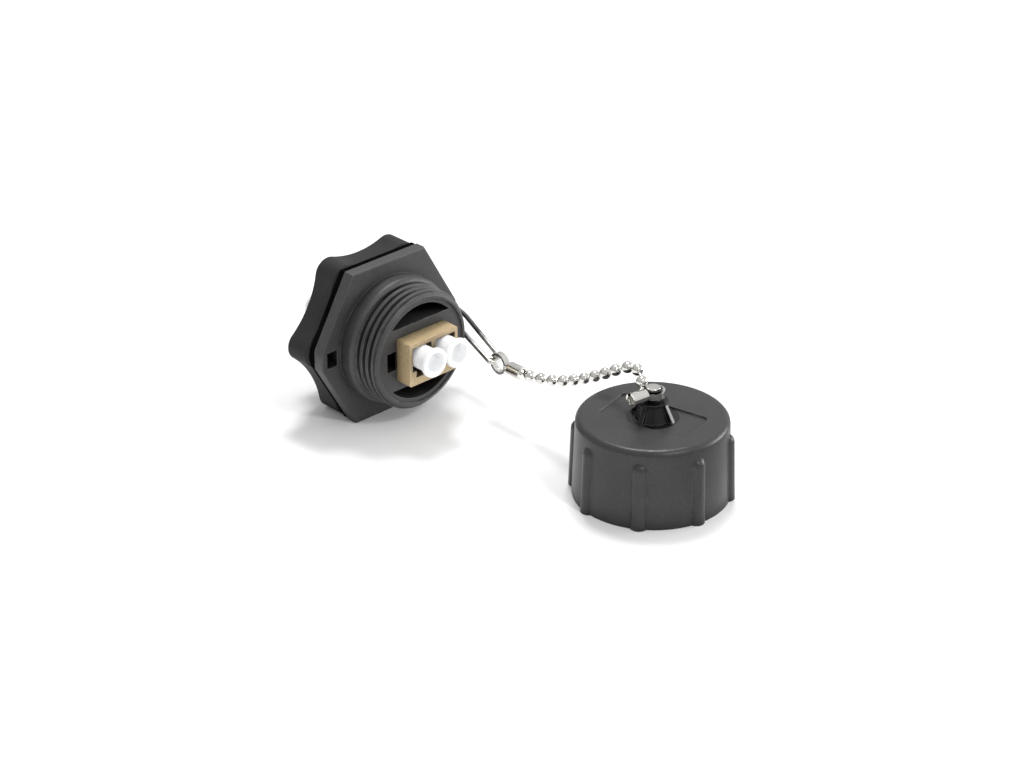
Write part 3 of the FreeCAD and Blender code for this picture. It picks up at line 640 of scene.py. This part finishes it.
def threaded_spigot(piece):
    """Cut the panel thread into the plain spigot behind the gasket."""
    outer = SPIGOT_R + SPIGOT_SPARE
    half = (SPIGOT_GROOVE + SPIGOT_SPARE) * SPIGOT_FLANK
    groove = [(SPIGOT_R - SPIGOT_GROOVE, 0.0), (outer, half), (outer, -half)]
    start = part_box("flange_gasket")[1].y + SPIGOT_PITCH * SPIGOT_LEAD
    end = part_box("housing")[1].y + SPIGOT_PITCH
    turns = (end - start) / SPIGOT_PITCH
    tool = helix_tool("groove_tool", groove, SPIGOT_PITCH, turns)
    tool.data.transform(Matrix.Translation((0, start, 0)) @ Matrix.Rotation(math.radians(-90), 4, "X"))
    tool.data.update()
    close_ends(tool)
    outward(tool)
    cutter = piece.modifiers.new("thread", "BOOLEAN")
    cutter.operation = "DIFFERENCE"
    cutter.solver = "EXACT"
    cutter.object = tool
    apply_all(piece)
    bpy.data.objects.remove(tool)


def body_pieces():
    housing = joined_copy("housing", "housing_body")
    threaded_spigot(housing)
    smooth(housing)
    keep_flats(housing)
    dress(housing, "housing", "housing_plastic", HOUSING, "housing")


# ---- the adapter in it ----
def clip_fingers():
    """Blackened spring leaves that run forward from the clip along the adapter's sides."""
    half_w = (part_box("adapter_front_shell")[1].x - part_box("adapter_front_shell")[0].x) / 2
    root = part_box("panel_clip")[0].y
    place = (half_w + FINGER_T / 2, root - FINGER_ROOT / 2, 0)
    bpy.ops.mesh.primitive_cube_add(size=1, location=place, scale=(FINGER_T, FINGER_ROOT, FINGER_H))
    finger = named("clip_finger_right")
    settle(finger)
    edit(finger, "FACE")
    pick(finger, "FACE", lambda at, normal: normal.y < -0.9)
    for step in FINGER_BENDS:
        bpy.ops.mesh.extrude_region_move(TRANSFORM_OT_translate={"value": step})
    close_edit()
    bevel(finger, FINGER_EDGE)
    other = own_copy(finger, "clip_finger_left")
    other.data.transform(Matrix.Scale(-1, 4, Vector((1, 0, 0))))
    for piece in (finger, other):
        outward(piece)
        smooth(piece)
        dress(piece, "housing", "clip_steel", CLIP)


def dust_caps():
    """Moulded cups with a rounded rim and a dished end."""
    for node in [n for n in frame["nodes"] if n.startswith("dust_cap_")]:
        low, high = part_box(node)
        rim = (high.x - low.x) / 2
        length = high.y - low.y
        rim_foot = length - DUST_RIM_T
        low_dish = length - DUST_DIMPLE
        dish = [(DUST_DIMPLE_R * NEAR_AXIS, low_dish), (DUST_DIMPLE_R * 0.8, low_dish),
                (DUST_DIMPLE_R * 0.95, length - DUST_DIMPLE * 0.9),
                (DUST_DIMPLE_R, length - DUST_DIMPLE * 0.7), (DUST_DIMPLE_R, length - RIM_EDGE * 0.7),
                (DUST_DIMPLE_R + RIM_EDGE * 0.5, length)]
        outside = [(rim - RIM_EDGE, length), (rim - RIM_EDGE * 0.3, length - RIM_EDGE * 0.3),
                   (rim, length - RIM_EDGE), (rim, rim_foot + RIM_EDGE),
                   (rim - RIM_EDGE * 0.3, rim_foot + RIM_EDGE * 0.3), (rim - RIM_EDGE, rim_foot),
                   (DUST_WALL_R + RIM_EDGE * 0.3, rim_foot), (DUST_WALL_R, rim_foot - RIM_EDGE * 0.3),
                   (DUST_WALL_R, RIM_EDGE * 0.5), (DUST_WALL_R - RIM_EDGE * 0.5, 0.0)]
        floor = low_dish - DUST_END_WALL
        inside = [(DUST_BORE_R, 0.0), (DUST_BORE_R, floor - RIM_EDGE), (DUST_BORE_R - RIM_EDGE, floor),
                  (DUST_BORE_R * NEAR_AXIS, floor)]
        cup = turned("cup_" + node, dish + outside + inside)
        edit(cup, "EDGE")
        pick(cup, "EDGE", lambda at, line: line.is_boundary)
        bpy.ops.mesh.edge_face_add()
        close_edit()
        front = node.startswith("dust_cap_front")
        place = Vector(((low.x + high.x) / 2, high.y if front else low.y, (low.z + high.z) / 2))
        laid_along(cup, Vector((0, -1 if front else 1, 0)), place)
        outward(cup)
        smooth(cup)
        dress(cup, node, "dust_cap_plastic", MILKY, node)


# ---- the chain ----
def bead_pattern():
    """A stamped ball: a sphere opened at both ends, with its rims turned in and a wall."""
    low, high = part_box(BEADS[0])
    radius = max(high - low) / 2
    bpy.ops.mesh.primitive_uv_sphere_add(segments=BEAD_SEGMENTS, ring_count=BEAD_RINGS, radius=radius)
    ball = named("bead_pattern")
    opening = math.sqrt(radius ** 2 - BEAD_HOLE_R ** 2)
    edit(ball, "FACE")
    for side in (1, -1):
        bpy.ops.mesh.select_all(action="SELECT")
        bpy.ops.mesh.bisect(plane_co=(0, 0, side * opening), plane_no=(0, 0, side), clear_outer=True)
    close_edit()
    wall = ball.modifiers.new("wall", "SOLIDIFY")
    wall.thickness = BEAD_WALL
    wall.offset = -1
    apply_all(ball)
    bevel(ball, BEAD_EDGE, 2, BEAD_EDGE_ANGLE)
    outward(ball)
    smooth(ball)
    return ball


def pin_pattern(span):
    """A dumbbell pin along Z, from the centre of one head to the centre of the other."""
    lift = math.sqrt(PIN_HEAD_R ** 2 - PIN_R ** 2)
    neck = math.asin(PIN_R / PIN_HEAD_R)
    tip = math.pi - PIN_TIP
    rings = []
    for k in range(PIN_HEAD_STEPS + 1):
        angle = tip - (tip - neck) * k / PIN_HEAD_STEPS
        rings.append((PIN_HEAD_R * math.sin(angle), PIN_HEAD_R * math.cos(angle)))
    rings[-1] = (PIN_R, lift)
    far = [(radius, span - height) for radius, height in reversed(rings)]
    dumbbell = turned("pin_pattern", rings + far, PIN_SEGMENTS)
    edit(dumbbell, "EDGE")
    pick(dumbbell, "EDGE", lambda at, line: line.is_boundary)
    bpy.ops.mesh.edge_face_add()
    close_edit()
    outward(dumbbell)
    smooth(dumbbell)
    return dumbbell


def chain():
    centres = [middle(node) for node in BEADS]
    heads = pivots()
    seat = (centres[1] - heads[0]).length
    axes = [(middle(PINS[0]) - centres[0]).normalized()]
    axes += [(centre - head).normalized() for centre, head in zip(centres[1:], heads)]
    ball = bead_pattern()
    for node, centre, axis in zip(BEADS, centres, axes):
        piece = own_copy(ball, node.replace("chain_bead", "bead"))
        laid_along(piece, axis, centre)
        dress(piece, body_of_node(node), "chain_nickel", NICKEL, node)
    starts = [centre + axis * seat for centre, axis in zip(centres, axes)]
    dumbbell = pin_pattern((heads[0] - starts[0]).length)
    for node, start, head in zip(PINS, starts, heads):
        piece = own_copy(dumbbell, node.replace("chain_pin", "pin"))
        laid_along(piece, (head - start).normalized(), start)
        dress(piece, body_of_node(node), "chain_nickel", NICKEL, node)
    bpy.data.objects.remove(ball)
    bpy.data.objects.remove(dumbbell)


# ---- the screw cap ----
def cap_thread():
    """The ridge inside the cap that grips the housing's neck."""
    wall = CAP_BORE_R + CAP_THREAD_SINK
    crest = CAP_BORE_R - CAP_RIDGE
    ridge = helix_tool("cap_thread", [(wall, -CAP_RIDGE_FOOT), (wall, CAP_RIDGE_FOOT),
                                      (crest, CAP_RIDGE_TOP), (crest, -CAP_RIDGE_TOP)],
                       CAP_PITCH, CAP_TURNS, CAP_THREAD_STEPS)
    centre = cap_centre()
    ridge.data.transform(Matrix.Translation((centre.x, centre.y, FLOOR_Z + CAP_THREAD_FROM)))
    close_ends(ridge)
    outward(ridge)
    smooth(ridge)
    dress(ridge, "screw_cap", "cap_plastic", CAP)


def post_rivet():
    """Bright pressed rivet on the post's head, over the coupling's eye."""
    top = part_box("screw_cap")[1].z
    rings = [(radius * MM, top + rise * MM) for radius, rise in RIVET_RINGS]
    rivet = turned("post_rivet", rings, RIVET_SEGMENTS)
    edit(rivet, "EDGE")
    pick(rivet, "EDGE", lambda at, line: line.is_boundary)
    bpy.ops.mesh.edge_face_add()
    close_edit()
    centre = cap_centre()
    rivet.data.transform(Matrix.Translation((centre.x, centre.y, 0)))
    outward(rivet)
    smooth(rivet)
    dress(rivet, "screw_cap", "chain_nickel", NICKEL)


def cad_finishes():
    """Nodes whose own shape stays get their finish here."""
    for node, material in (("flange_gasket", RUBBER), ("cap_gasket", RUBBER), ("panel_clip", CLIP),
                           ("split_sleeve_left", CERAMIC), ("split_sleeve_right", CERAMIC),
                           ("adapter_front_shell", BEIGE), ("adapter_rear_shell", BEIGE),
                           ("lock_nut", NUT), ("tether_loop", STEEL_WIRE), ("tether_coupling", NICKEL),
                           ("cap_coupling", NICKEL), ("screw_cap", CAP)):
        mesh = frame["nodes"][node].data
        mesh.materials.clear()
        mesh.materials.append(material)


# ---- floor, light and camera ----
def studio_floor():
    """A wide white sheet with a painted dark reflection: to the right and in front of the part, glossy rays see it
    dark while the camera sees it white.
    """
    bpy.ops.mesh.primitive_plane_add(size=FLOOR_SIZE, location=(0, 0, FLOOR_Z))
    floor = named("studio_floor")
    settle(floor)
    material, tree, shader, place = new_material("pale_floor")
    paper = spread(tree, noise(tree, place, 6.0, 3.0, 0.5), 0.3, 0.7, 0.0, 1.0)
    sheet = mix_colour(tree, paper, (0.93, 0.93, 0.93), (0.95, 0.95, 0.95))
    # Painted reflection: a dark patch on the floor that only glossy rays see, which darkens the lower sides of
    # metal and glossy pieces.
    shade = spread(tree, along_way(tree, place, FLOOR_SHADE_WAY), *FLOOR_SHADE)
    mirrored = tree.nodes.new("ShaderNodeLightPath").outputs["Is Glossy Ray"]
    seen = mix_colour(tree, math_node(tree, "MULTIPLY", shade, mirrored), sheet, (0.05, 0.05, 0.05))
    wire(tree, seen, shader.inputs["Base Color"])
    shader.inputs["Roughness"].default_value = 0.85
    shader.inputs["Specular IOR Level"].default_value = 0.1
    floor.data.materials.append(material)


def area_light(name, place, aim, size, power):
    data = bpy.data.lights.new(name, "AREA")
    data.shape = "RECTANGLE"
    data.size, data.size_y = size
    data.energy = power
    lamp = bpy.data.objects.new(name, data)
    bpy.context.scene.collection.objects.link(lamp)
    lamp.location = place
    lamp.rotation_euler = (aim - place).to_track_quat("-Z", "Y").to_euler()


def studio_light():
    world = bpy.data.worlds.new("studio_dome")
    bpy.context.scene.world = world
    world.use_nodes = True
    tree = world.node_tree
    dome = tree.nodes["Background"]
    dome.inputs["Color"].default_value = (1, 1, 1, 1)
    place = tree.nodes.new("ShaderNodeTexCoord").outputs["Generated"]
    glow = spread(tree, along_way(tree, place, DOME_WAY), -0.8, 0.95, *DOME_GLOW)
    beside = math_node(tree, "ABSOLUTE", along_way(tree, place, DOME_GAP_SIDE), 0.0)
    gap = spread(tree, beside, 0.03, 0.05, 1.0, 0.0)
    ahead = spread(tree, along_way(tree, place, DOME_GAP_WAY), -0.05, 0.0)
    gap = math_node(tree, "MULTIPLY", gap, ahead)
    open_part = math_node(tree, "SUBTRACT", 1.0, math_node(tree, "MULTIPLY", gap, 0.9))
    wire(tree, math_node(tree, "MULTIPLY", glow, open_part), dome.inputs["Strength"])
    aim = VIEW_AIM
    area_light("key_panel", Vector((-0.06, -0.72, 0.7)), aim, (0.12, 0.12), 2.2)
    area_light("side_panel", Vector((0.62, -0.34, 0.12)), aim, (0.4, 0.25), 3.0)
    area_light("back_panel", Vector((0.24, 0.2, 0.8)), aim, (0.22, 0.22), 4.2)
    bpy.context.scene.view_settings.view_transform = "Standard"


def camera():
    azimuth, elevation = math.radians(VIEW_AZIMUTH), math.radians(VIEW_ELEVATION)
    back = Vector((math.sin(azimuth) * math.cos(elevation), -math.cos(azimuth) * math.cos(elevation),
                   math.sin(elevation)))
    data = bpy.data.cameras.new("camera")
    data.lens = LENS
    data.clip_start, data.clip_end = 0.01, 20.0
    eye = bpy.data.objects.new("camera", data)
    bpy.context.scene.collection.objects.link(eye)
    eye.location = VIEW_AIM + back * VIEW_DISTANCE
    eye.rotation_euler = (-back).to_track_quat("-Z", "Y").to_euler()
    bpy.context.scene.camera = eye


camera()
studio_floor()
studio_light()
body_pieces()
clip_fingers()
dust_caps()
chain()
cap_thread()
post_rivet()
cad_finishes()
